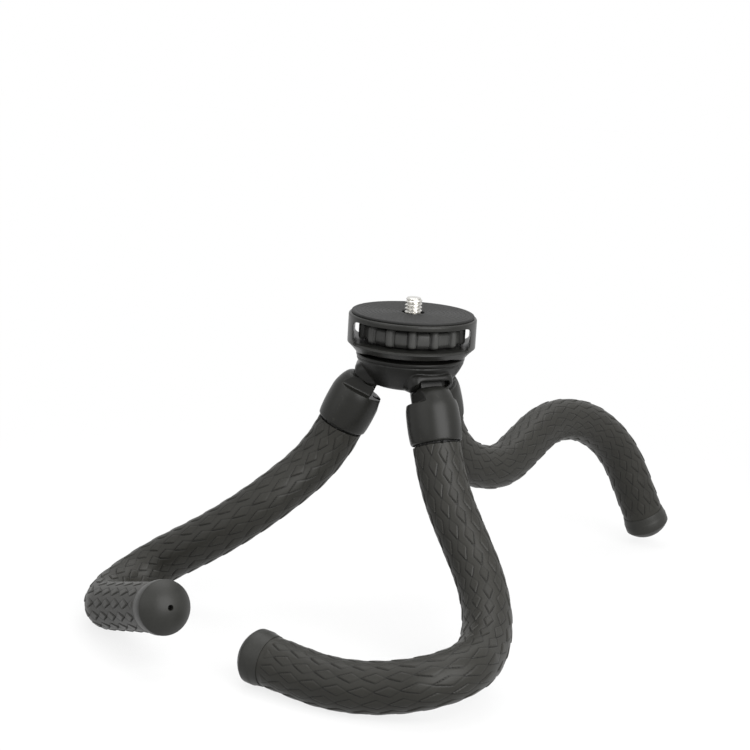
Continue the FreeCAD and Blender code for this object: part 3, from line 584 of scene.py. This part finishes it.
# %% [markdown]
# ## The hub
# The bowl carries a lip and a thin groove under its rim. Over each leg it swells into a hood
# with an arch in front, and behind the arch is the notch that holds the hinge. The hoods are
# blocks that narrow a little towards the front, with an underside that slopes like the bowl.
# They are joined to the bowl before the notches are cut.

# %% Turn the bowl, join the hoods, cut the notches
ARCH_TOP, NOTCH_HALF, HOOD_R, HOOD_BORDER = RIM - 6.1, 6.1, 20.2, 2.3
HOOD_LOW = RIM - 7.2
bowl_profile = [(0, RIM), (RIM_R - 0.5, RIM), (RIM_R - 0.1, RIM - 0.4), (RIM_R - 0.3, RIM - 1.3),
                (RIM_R - 0.8, RIM - 1.35), (RIM_R - 0.85, RIM - 1.9), (RIM_R - 0.45, RIM - 1.95)]
bowl_profile += flowing([(RIM_R - 0.5, RIM - 2.2), (18.5, RIM - 5.2), (16.2, RIM - 8.6),
                         (14.0, BOWL_LOW + 0.6), (11.5, BOWL_LOW)], 5) + [(0, BOWL_LOW)]


def hood(turn):
    """A block whose front has a broad soft bevel and whose underside slopes like the bowl."""
    rings = []
    draft = ((8.2, -0.9), (16.4, -0.6), (18.4, -0.1), (19.3, 0.35), (19.9, 0.9), (HOOD_R, 1.5))
    for out, shrink in draft:
        half, top = NOTCH_HALF + HOOD_BORDER - shrink, ARCH_TOP + HOOD_BORDER - shrink
        outline = rounded(-half, half, BOWL_LOW + max(shrink, 0) * 1.6, top, 3.0)
        rings.append([(out, y, z) for y, z in outline])
    slope = [(HOOD_R + 0.5, HOOD_LOW + 0.4), (14.0, BOWL_LOW - 0.1), (14.0, -40), (40, -40),
             (40, HOOD_LOW + 0.4)]
    block = combine(skin("hood", rings), [prism("slope", slope, -20, 20)])
    return put(block, Matrix.Rotation(math.radians(turn), 4, "Z"))


def notch_tools(turn):
    low = BOWL_LOW - 6
    arch = [(-5.7, ARCH_TOP), (5.7, ARCH_TOP), (6.5, ARCH_TOP - 1.3), (7.1, low), (-7.1, low),
            (-6.5, ARCH_TOP - 1.3)]
    inner = rounded(-NOTCH_HALF - 0.01, NOTCH_HALF + 0.01, BOWL_LOW - 5, DECK_LOW, 0.6)
    tools = [prism("arch", arch, 17.2, 24.0, "X"), prism("inner", inner, 8.6, HOOD_R - 2.2, "X")]
    return [put(tool, Matrix.Rotation(math.radians(turn), 4, "Z")) for tool in tools]


bowl = turned("bowl_moulding", bowl_profile, 256)
combine(bowl, [hood(turn) for turn in (0, 120, 240)], "UNION")
combine(bowl, [tool for turn in (0, 120, 240) for tool in notch_tools(turn)])
COVER_R, COVER_THICK, CAVITY_R, PAN_HOLE_R = 8.15, 1.5, 5.2, 2.56
seat = [(0, BOWL_LOW - 1), (COVER_R, BOWL_LOW - 1), (COVER_R, BOWL_LOW + COVER_THICK),
        (CAVITY_R, BOWL_LOW + COVER_THICK), (CAVITY_R, DECK_LOW), (PAN_HOLE_R, DECK_LOW),
        (PAN_HOLE_R, RIM + 1), (0, RIM + 1)]
combine(bowl, [turned("seat", seat, 96)])
mould(bowl, 0.24, 3)
put(bowl, Matrix.Rotation(math.radians(LEGS_TURN + LEG_AZIMUTH["right"]), 4, "Z"))
# the bowl takes the hub's darker copy, painted shade for its downward-facing underside
finish_piece(bowl, SHADED_HUB_PLASTIC, "moulded_plastic", "hub", "hub_bowl")

# %% [markdown]
# ## Where the legs go
# Each leg leaves its hinge, leaning out, and then bends four times. A bend keeps its own plane,
# so the leg is a chain of straight runs and arcs. A side vector is carried along without
# twisting, so that rings of points line up from the hub to the foot.

# %% Follow each leg
Stretch = namedtuple("Stretch", "begin length point heading side normal axis radius")
Hip = namedtuple("Hip", "pivot down out matrix")


def spin(vector, axis, angle):
    return Matrix.Rotation(angle, 3, axis) @ vector


def find_hip(leg):
    azimuth, tilt = math.radians(LEG_AZIMUTH[leg] + LEGS_TURN), math.radians(HIP_TILT)
    radial, rise = Vector((math.cos(azimuth), math.sin(azimuth), 0)), Vector((0, 0, 1))
    down = radial * math.sin(tilt) - rise * math.cos(tilt)
    out = radial * math.cos(tilt) + rise * math.sin(tilt)
    pivot = radial * PIVOT_OUT + rise * PIVOT_Z
    return Hip(pivot, down, out, placed(pivot, out, -down))


def placed(origin, x_axis, z_axis):
    """The matrix that puts a piece at an origin, along two axes."""
    y_axis = z_axis.cross(x_axis)
    matrix = Matrix((x_axis, y_axis, z_axis)).transposed().to_4x4()
    matrix.translation = origin
    return matrix


def follow(leg, hip):
    point, heading, side, normal = hip.pivot + hip.out * COLLAR_OUT, hip.down, hip.out, hip.out
    used, stretches = 0.0, []
    for run, radius, turn, roll in BENDS[leg]:
        stretches.append(Stretch(used, run, point, heading, side, None, None, None))
        point, used = point + heading * run, used + run
        normal = spin(normal, heading, math.radians(roll))
        axis, turn = heading.cross(normal), math.radians(turn)
        stretches.append(Stretch(used, radius * turn, point, heading, side, normal, axis, radius))
        centre = point + normal * radius
        point = centre + spin(point - centre, axis, turn)
        heading, side, normal = (spin(v, axis, turn) for v in (heading, side, normal))
        used += radius * turn
    stretches.append(Stretch(used, LEG_LONG - used, point, heading, side, None, None, None))
    return stretches


def station(stretches, s):
    """Centre, heading and side of the leg at a distance from its hinge."""
    stretch = next((one for one in stretches if s <= one.begin + one.length), stretches[-1])
    on = s - stretch.begin
    if stretch.axis is None:
        return stretch.point + stretch.heading * on, stretch.heading, stretch.side
    centre, angle = stretch.point + stretch.normal * stretch.radius, on / stretch.radius
    point = centre + spin(stretch.point - centre, stretch.axis, angle)
    return point, spin(stretch.heading, stretch.axis, angle), spin(stretch.side, stretch.axis, angle)


HIPS = {leg: find_hip(leg) for leg in BENDS}
ROUTES = {leg: follow(leg, HIPS[leg]) for leg in BENDS}
for leg, route in ROUTES.items():
    print(leg, "leg ends at", [round(c, 1) for c in station(route, LEG_LONG)[0]])

# %% [markdown]
# ## The scales of the sleeve
# Twelve rows of long diamonds run down the rubber, and each row is half a scale off its
# neighbours. A scale rises from its hub-side point, ends in a short step on the foot side, and
# has a thin groove round it. A bump map would leave the outline smooth, so the relief is in the
# mesh: the formula gives the height at any distance along and round the leg.

# %% Height of the relief
ROWS, SCALE_PITCH, SCALE_WIDE, SCALE_WAIST = 12, 8.2, 3.5, 0.42
SCALE_HIGH, GROOVE_DEEP, EDGE_WIDE = 0.26, 0.24, 0.22
MOUTH_STEP, MOUTH_END = 0.7, 24.1
PATTERN_START, PATTERN_END = 21.0, LEG_LONG - 8.5


def smooth(low, high, x):
    t = np.clip((x - low) / (high - low), 0, 1)
    return t * t * (3 - 2 * t)


def relief(s, around):
    """Millimetres above the plain sleeve at s along the leg and an angle round it."""
    strip = around / (2 * math.pi) * ROWS
    row = np.floor(strip)
    across = np.abs(strip - row - 0.5) * (2 * math.pi * SLEEVE_R / ROWS)
    step = s / SCALE_PITCH + 0.5 * (row % 2)
    part = step - np.floor(step)
    fall = (1 - part) / (1 - SCALE_WAIST)
    inside = SCALE_WIDE / 2 * np.where(part < SCALE_WAIST, part / SCALE_WAIST, fall) - across
    raised = SCALE_HIGH * (0.1 + 0.9 * smooth(0.05, 0.8, part)) * smooth(0.0, EDGE_WIDE, inside)
    foot_side = smooth(SCALE_WAIST - 0.12, SCALE_WAIST + 0.12, part)
    groove = GROOVE_DEEP * (0.5 + 0.5 * foot_side) * np.exp(-((inside + 0.05) / 0.17) ** 2)
    shown = smooth(PATTERN_START, PATTERN_START + 1, s) * (1 - smooth(PATTERN_END - 1, PATTERN_END, s))
    narrow = MOUTH_STEP * (1 - smooth(MOUTH_END, MOUTH_END + 0.3, s))
    return (raised - groove) * shown - narrow


# %% [markdown]
# ## Sleeves in four lengths
# Each leg's rubber is one length, but a piece may cross only one joint. So it is cut in the
# middle of each straight run, where both sides move together, and the four lengths meet there.

# %% Build the sleeves and the cores
ALONG_STEP, AROUND = 0.30, 198
COLLAR_BOTTOM = COLLAR_DROP - COLLAR_MOUTH


def circle(route, s, radii):
    point, heading, side = station(route, s)
    other = heading.cross(side)
    angles = np.linspace(0, 2 * math.pi, len(radii), endpoint=False)
    side, other, point = np.array(side), np.array(other), np.array(point)
    return point + radii[:, None] * (np.cos(angles)[:, None] * side + np.sin(angles)[:, None] * other)


def cuts(route, start, end):
    """Where a leg's cover is parted: its two ends and the middle of each inner run."""
    runs = [one for one in route if one.axis is None][1:-1]
    return [start, *(one.begin + one.length / 2 for one in runs), end]


def sleeve_length(name, route, low, high):
    count = max(2, round((high - low) / ALONG_STEP)) + 1
    angles = np.linspace(0, 2 * math.pi, AROUND, endpoint=False)
    rings, heights = [], []
    for s in np.linspace(low, high, count):
        height = relief(s, angles)
        rings.append(circle(route, s, SLEEVE_R + height))
        heights.append(height)
    inner = np.full(AROUND, CORE_R + 0.1)
    for s in np.linspace(high, low, max(2, count // 8)):
        rings.append(circle(route, s, inner))
        heights.append(np.zeros(AROUND))
    piece = skin(name, rings, closed=True)
    piece.data.set_sharp_from_angle(angle=math.radians(60))
    field = piece.data.attributes.new("relief", "FLOAT", "POINT")
    field.data.foreach_set("value", np.concatenate(heights).astype(np.float32))
    return piece


def strand_length(name, route, low, high):
    """The core: wires twisted together, seen only where a sleeve is cut open."""
    rings = []
    for s in np.linspace(low, high, max(2, round((high - low) / 0.9)) + 1):
        angles = np.linspace(0, 2 * math.pi, 42, endpoint=False)
        rings.append(circle(route, s, CORE_R - 0.3 * np.abs(np.sin(3.5 * (angles + s * 0.35)))))
    return skin(name, rings)


def bend_between(piece, number, route, radius):
    arc = [one for one in route if one.axis is not None][number - 1]
    start, end = station(route, arc.begin)[0], station(route, arc.begin + arc.length)[0]
    chord = end - start
    inset = radius * math.sin(arc.length / arc.radius / 2)
    along = chord.normalized() * min(inset, chord.length * 0.35)
    (start + along) * MM
    (end - along) * MM
    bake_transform(piece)


for leg, route in ROUTES.items():
    bounds = cuts(route, COLLAR_BOTTOM, LEG_LONG)
    core_bounds = cuts(route, 12.4, LEG_LONG - 3.0)
    for number in range(1, 5):
        low, high = bounds[number - 1:number + 1]
        sleeve = sleeve_length(f"{leg}_cover_{number}", route, low, high)
        core = strand_length(f"{leg}_strand_{number}", route, *core_bounds[number - 1:number + 1])
        first = (1, 2) if number == 1 else (number + 1,)
        for piece, material, slot, stem in ((sleeve, SLEEVE_RUBBER, "leg_rubber", "sleeve"),
                                            (core, CORE_METAL, "core_aluminium", "core")):
            in_metres(piece)
            piece.data.materials.append(material)
            bend_between(piece, number, route, SLEEVE_R)
            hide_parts(*(f"{leg}_{stem}_{link}" for link in first))
    print(leg, "leg is parted at", [round(s, 1) for s in bounds])

# %% [markdown]
# ## Collars and necks
# The collar is a barrel with a dome that tucks under the hub's arch. Flats on its shoulders
# clear the hood, and a slot lets the neck's square block show. Both are drawn with the hinge at
# the origin and then placed on the leg, so one drawing serves all three.

# %% Collars and necks
MOUTH_R, STEM_R, EYE_R, PIN_HOLE_R, SCREW_HOLE_R, SCREW_UP = 8.85, 4.5, 4.2, 1.56, 2.15, 13.0
NECK_HALF, FOOT_HALF, NECK_INNER, NECK_LOW, INNER_WALL = 4.5, 5.05, -3.2, -8.0, -8.6


def collar_mesh(leg):
    up = -COLLAR_DROP
    side = flowing([(9.5, up + 0.35), (9.75, up + 2.4), (9.9, up + 5.5), (9.85, up + 10.0),
                    (9.6, up + 13.2), (8.8, up + 16.0), (7.9, up + 18.0), (6.9, up + 19.4),
                    (5.9, up + 20.1)], 5)
    mouth, bore, top = MOUTH_R, STEM_R + 0.05, up + 20.3
    profile = [(mouth, up), (9.2, up), *side, (5.2, top), (bore, top), (bore, up + COLLAR_MOUTH),
               (mouth, up + COLLAR_MOUTH)]
    body = turned(leg + "_collar_moulding", profile, 160)
    tools = [prism("flat", rounded(low, high, up + 15.0, 6.0, 0.9), -30, 30, "X")
             for low, high in ((5.6, 12.0), (-12.0, -5.6))]
    tools.append(prism("wall", rounded(-12.0, -4.6, INNER_WALL, 6.0, 0.5), -30, 30))
    tools.append(prism("slot", rounded(-5.05, 2.45, INNER_WALL, 6.0, 0.3), -5.2, 5.2))
    tools.append(prism("relief", round_outline(EYE_R + 0.1, 48, -COLLAR_OUT), -30, 30))
    screw_hole = round_outline(SCREW_HOLE_R, 48, 0.0, up + SCREW_UP)
    tools.append(prism("screw_hole", screw_hole, -12.0, -6.05, "X"))
    combine(body, tools)
    mould(body, 0.26, 3)
    return put(body, HIPS[leg].matrix @ Matrix.Translation((COLLAR_OUT, 0, 0)))


def neck_mesh(leg):
    onto_stem = Matrix.Translation((COLLAR_OUT, 0, 0))
    eye = prism(leg + "_neck_moulding", round_outline(EYE_R, 64), -NECK_HALF, NECK_HALF)
    block = prism("block", [(NECK_INNER, NECK_LOW), (EYE_R, NECK_LOW), (EYE_R, 0), (NECK_INNER, 0)],
                  -NECK_HALF, NECK_HALF)
    foot = prism("foot", [(NECK_INNER, NECK_LOW), (4.0, NECK_LOW), (4.0, -4.4), (NECK_INNER, -4.4)],
                 -FOOT_HALF, FOOT_HALF)
    stem = put(rod("stem", STEM_R, -18.4, -7.5, 64), onto_stem)
    combine(eye, [block, foot, stem], "UNION")
    pin = prism("pin", round_outline(PIN_HOLE_R, 64), -6, 6)
    socket = put(rod("socket", CORE_R + 0.05, -19, -12.4, 48), onto_stem)
    combine(eye, [pin, socket])
    mould(eye, 0.26, 2)
    return put(eye, HIPS[leg].matrix)


for leg in BENDS:
    finish_piece(collar_mesh(leg), SHADED_COLLAR_PLASTIC, "moulded_plastic", leg + "_link_1", leg + "_collar")
    # the necks take the hub's darker copy, painted shade for their place under the arches
    finish_piece(neck_mesh(leg), SHADED_HUB_PLASTIC, "moulded_plastic", leg + "_link_1", leg + "_neck")

# %% [markdown]
# ## Foot caps
# A cap is turned: a skirt that grips the sleeve, a short straight band, and a shallow dome that
# is part of a ball. The vent is left open in the middle.

# %% Foot caps
CAP_BORE, VENT_R, DOME_R, DOME_HIGH = SLEEVE_R + 0.05, 0.95, CAP_R - 0.2, 4.7
DOME_BALL = (DOME_R ** 2 + DOME_HIGH ** 2) / (2 * DOME_HIGH)
cap_dome = [(r, (DOME_BALL ** 2 - r ** 2) ** 0.5 - DOME_BALL + DOME_HIGH)
            for r in np.linspace(DOME_R, VENT_R + 0.3, 26)]
cap_profile = [(CAP_BORE, 0), (CAP_BORE, -7.0), (CAP_BORE + 0.15, -7.0), (CAP_BORE + 0.25, -6.7),
               (9.2, -5.6), (9.38, -4.6), (9.46, -4.1), (CAP_R - 0.12, -3.9), (CAP_R, -3.6),
               (CAP_R, -0.5), (CAP_R - 0.06, -0.2), *cap_dome, (VENT_R + 0.08, DOME_HIGH - 0.03),
               (VENT_R, DOME_HIGH - 0.2), (VENT_R, 0)]
for leg, route in ROUTES.items():
    rim, heading, side = station(route, LEG_LONG)
    cap = put(turned(leg + "_cap_moulding", cap_profile, 144), placed(rim, side, heading))
    cap.data.set_sharp_from_angle(angle=math.radians(35))
    finish_piece(cap, CAP_RUBBER, "cap_rubber", leg + "_link_5", leg + "_foot_cap")

# %% [markdown]
# ## The parts that stay as they came
# The small turned parts have the right shape already, so they only get their finishes.

# %% Finishes for the other parts
KEPT = {
    "screw_clip": DARK_STEEL, "glide_washer": WASHER_NYLON, "pan_bolt": DARK_STEEL,
    "pan_nut": DARK_STEEL, "brake_washer": WASHER_NYLON, "hub_cover": SHADED_HUB_PLASTIC,
    "cover_screws": DARK_STEEL, "hinge_pins": DARK_STEEL, "hip_washers": SHADED_HUB_PLASTIC,
    "left_neck_screw": DARK_STEEL, "front_neck_screw": DARK_STEEL, "right_neck_screw": DARK_STEEL,
}
for name, material in KEPT.items():
    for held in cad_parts[name].material_slots:
        held.material = material
print(len(KEPT), "parts keep their own shape")

# %% [markdown]
# ## Floor and world
# The floor is white and keeps the shadow near the object; further out it turns into the same
# plain white as the world. It is partly clear, because a leg that is straightened while the hub
# stays in place reaches below it, and should still be seen.

# %% Floor and world
FLOOR_Z, FLOOR_HALF, FLOOR_CLEAR = -120.65, 3000.0, 0.7
FADE_FROM, FADE_LONG, FADE_LEAST = 0.08, 0.30, 0.10
WORLD_SEEN, WORLD_LIGHT = 0.66, 0.34
floor_corners = [(x * FLOOR_HALF, y * FLOOR_HALF, FLOOR_Z)
                 for x, y in ((-1, -1), (1, -1), (1, 1), (-1, 1))]
floor_mesh = bpy.data.meshes.new("floor")
floor_mesh.from_pydata(floor_corners, [], [(0, 1, 2, 3)])
floor = in_metres(new_piece("floor", floor_mesh))
floor_finish = new_finish("white_floor", Roughness=0.9, Specular_IOR_Level=0.1)
floor_finish.shader.inputs["Base Color"].default_value = (0.86, 0.86, 0.86, 1.0)
far = floor_finish.place.node("ShaderNodeVectorMath", {"operation": "LENGTH"},
                              {0: floor_finish.place}, output="Value")
away = ((far - FADE_FROM) / FADE_LONG + FADE_LEAST).limited()
glow = far.node("ShaderNodeEmission", None, {"Color": (1, 1, 1, 1), "Strength": 1.0})
mixed = far.node("ShaderNodeMixShader", None,
                 {0: away, 1: Wire(far.tree, floor_finish.shader.outputs[0]), 2: glow})
clear = far.node("ShaderNodeBsdfTransparent")
partly = far.node("ShaderNodeMixShader", None, {0: FLOOR_CLEAR, 1: mixed, 2: clear})
surface = floor_finish.material.node_tree.nodes["Material Output"].inputs["Surface"]
far.tree.links.new(partly.socket, surface)
floor.data.materials.append(floor_finish.material)

world = bpy.data.worlds.new("studio")
bpy.context.scene.world = world
world.use_nodes = True
rays = world.node_tree.nodes.new("ShaderNodeLightPath")
SEEN_WHITE = ("Is Camera Ray", "Is Glossy Ray", "Is Transmission Ray")
seen = sum((Wire(world.node_tree, rays.outputs[name]) for name in SEEN_WHITE), 0.0)
backdrop = world.node_tree.nodes["Background"]
level = seen.limited() * WORLD_SEEN + WORLD_LIGHT
world.node_tree.links.new(level.socket, backdrop.inputs["Strength"])
backdrop.inputs["Color"].default_value = (1, 1, 1, 1)


# %% [markdown]
# ## Lamps
# Three large soft squares: the key from the right in front, a weak fill from the left, and one
# above. Their wide pale reflections show the shape of a black object.

# %% Lamps
def lamp(name, place, size, watts):
    data = bpy.data.lights.new(name, "AREA")
    data.shape, data.size, data.energy = "SQUARE", size * MM, watts
    source = bpy.data.objects.new(name, data)
    bpy.context.scene.collection.objects.link(source)
    spot = Vector(place) * MM
    aim = Vector((0, 0, -60)) * MM - spot
    source.matrix_world = Matrix.Translation(spot) @ aim.to_track_quat("-Z", "Y").to_matrix().to_4x4()


lamp("key", (430, -640, 380), 800, 11.5)
lamp("fill", (-600, -450, 420), 800, 2.5)
lamp("top", (0, 200, 850), 900, 6.5)

# %% [markdown]
# ## Camera
# The camera looks down a little and is rolled a few degrees. Its angles, its lens and its place
# come from the same least-squares fit as the bends, with the hub's scale and the legs' length
# held near assumed values, so they are estimates.

# %% Camera at the photograph's place
ELEVATION, ROLL = math.radians(12.37), math.radians(3.34)
FOCAL_PIXELS, FRAME_PIXELS, CAMERA_PLACE = 1700.0, 750.0, (-12.8, -622.7, 111.7)
camera_data = bpy.data.cameras.new("camera")
camera_data.sensor_fit, camera_data.sensor_width = "HORIZONTAL", 36.0
camera_data.lens = FOCAL_PIXELS / FRAME_PIXELS * camera_data.sensor_width
camera = bpy.data.objects.new("camera", camera_data)
bpy.context.scene.collection.objects.link(camera)
level_up = Vector((0, math.sin(ELEVATION), math.cos(ELEVATION)))
back = Vector((0, -math.cos(ELEVATION), math.sin(ELEVATION)))
right = Vector((1, 0, 0)) * math.cos(ROLL) + level_up * math.sin(ROLL)
up = level_up * math.cos(ROLL) - Vector((1, 0, 0)) * math.sin(ROLL)
camera.matrix_world = Matrix((right, up, back)).transposed().to_4x4()
camera.matrix_world.translation = Vector(CAMERA_PLACE) * MM
bpy.context.scene.camera = camera
bpy.context.scene.view_settings.view_transform = "Standard"
print("camera lens", round(camera_data.lens, 1), "mm")
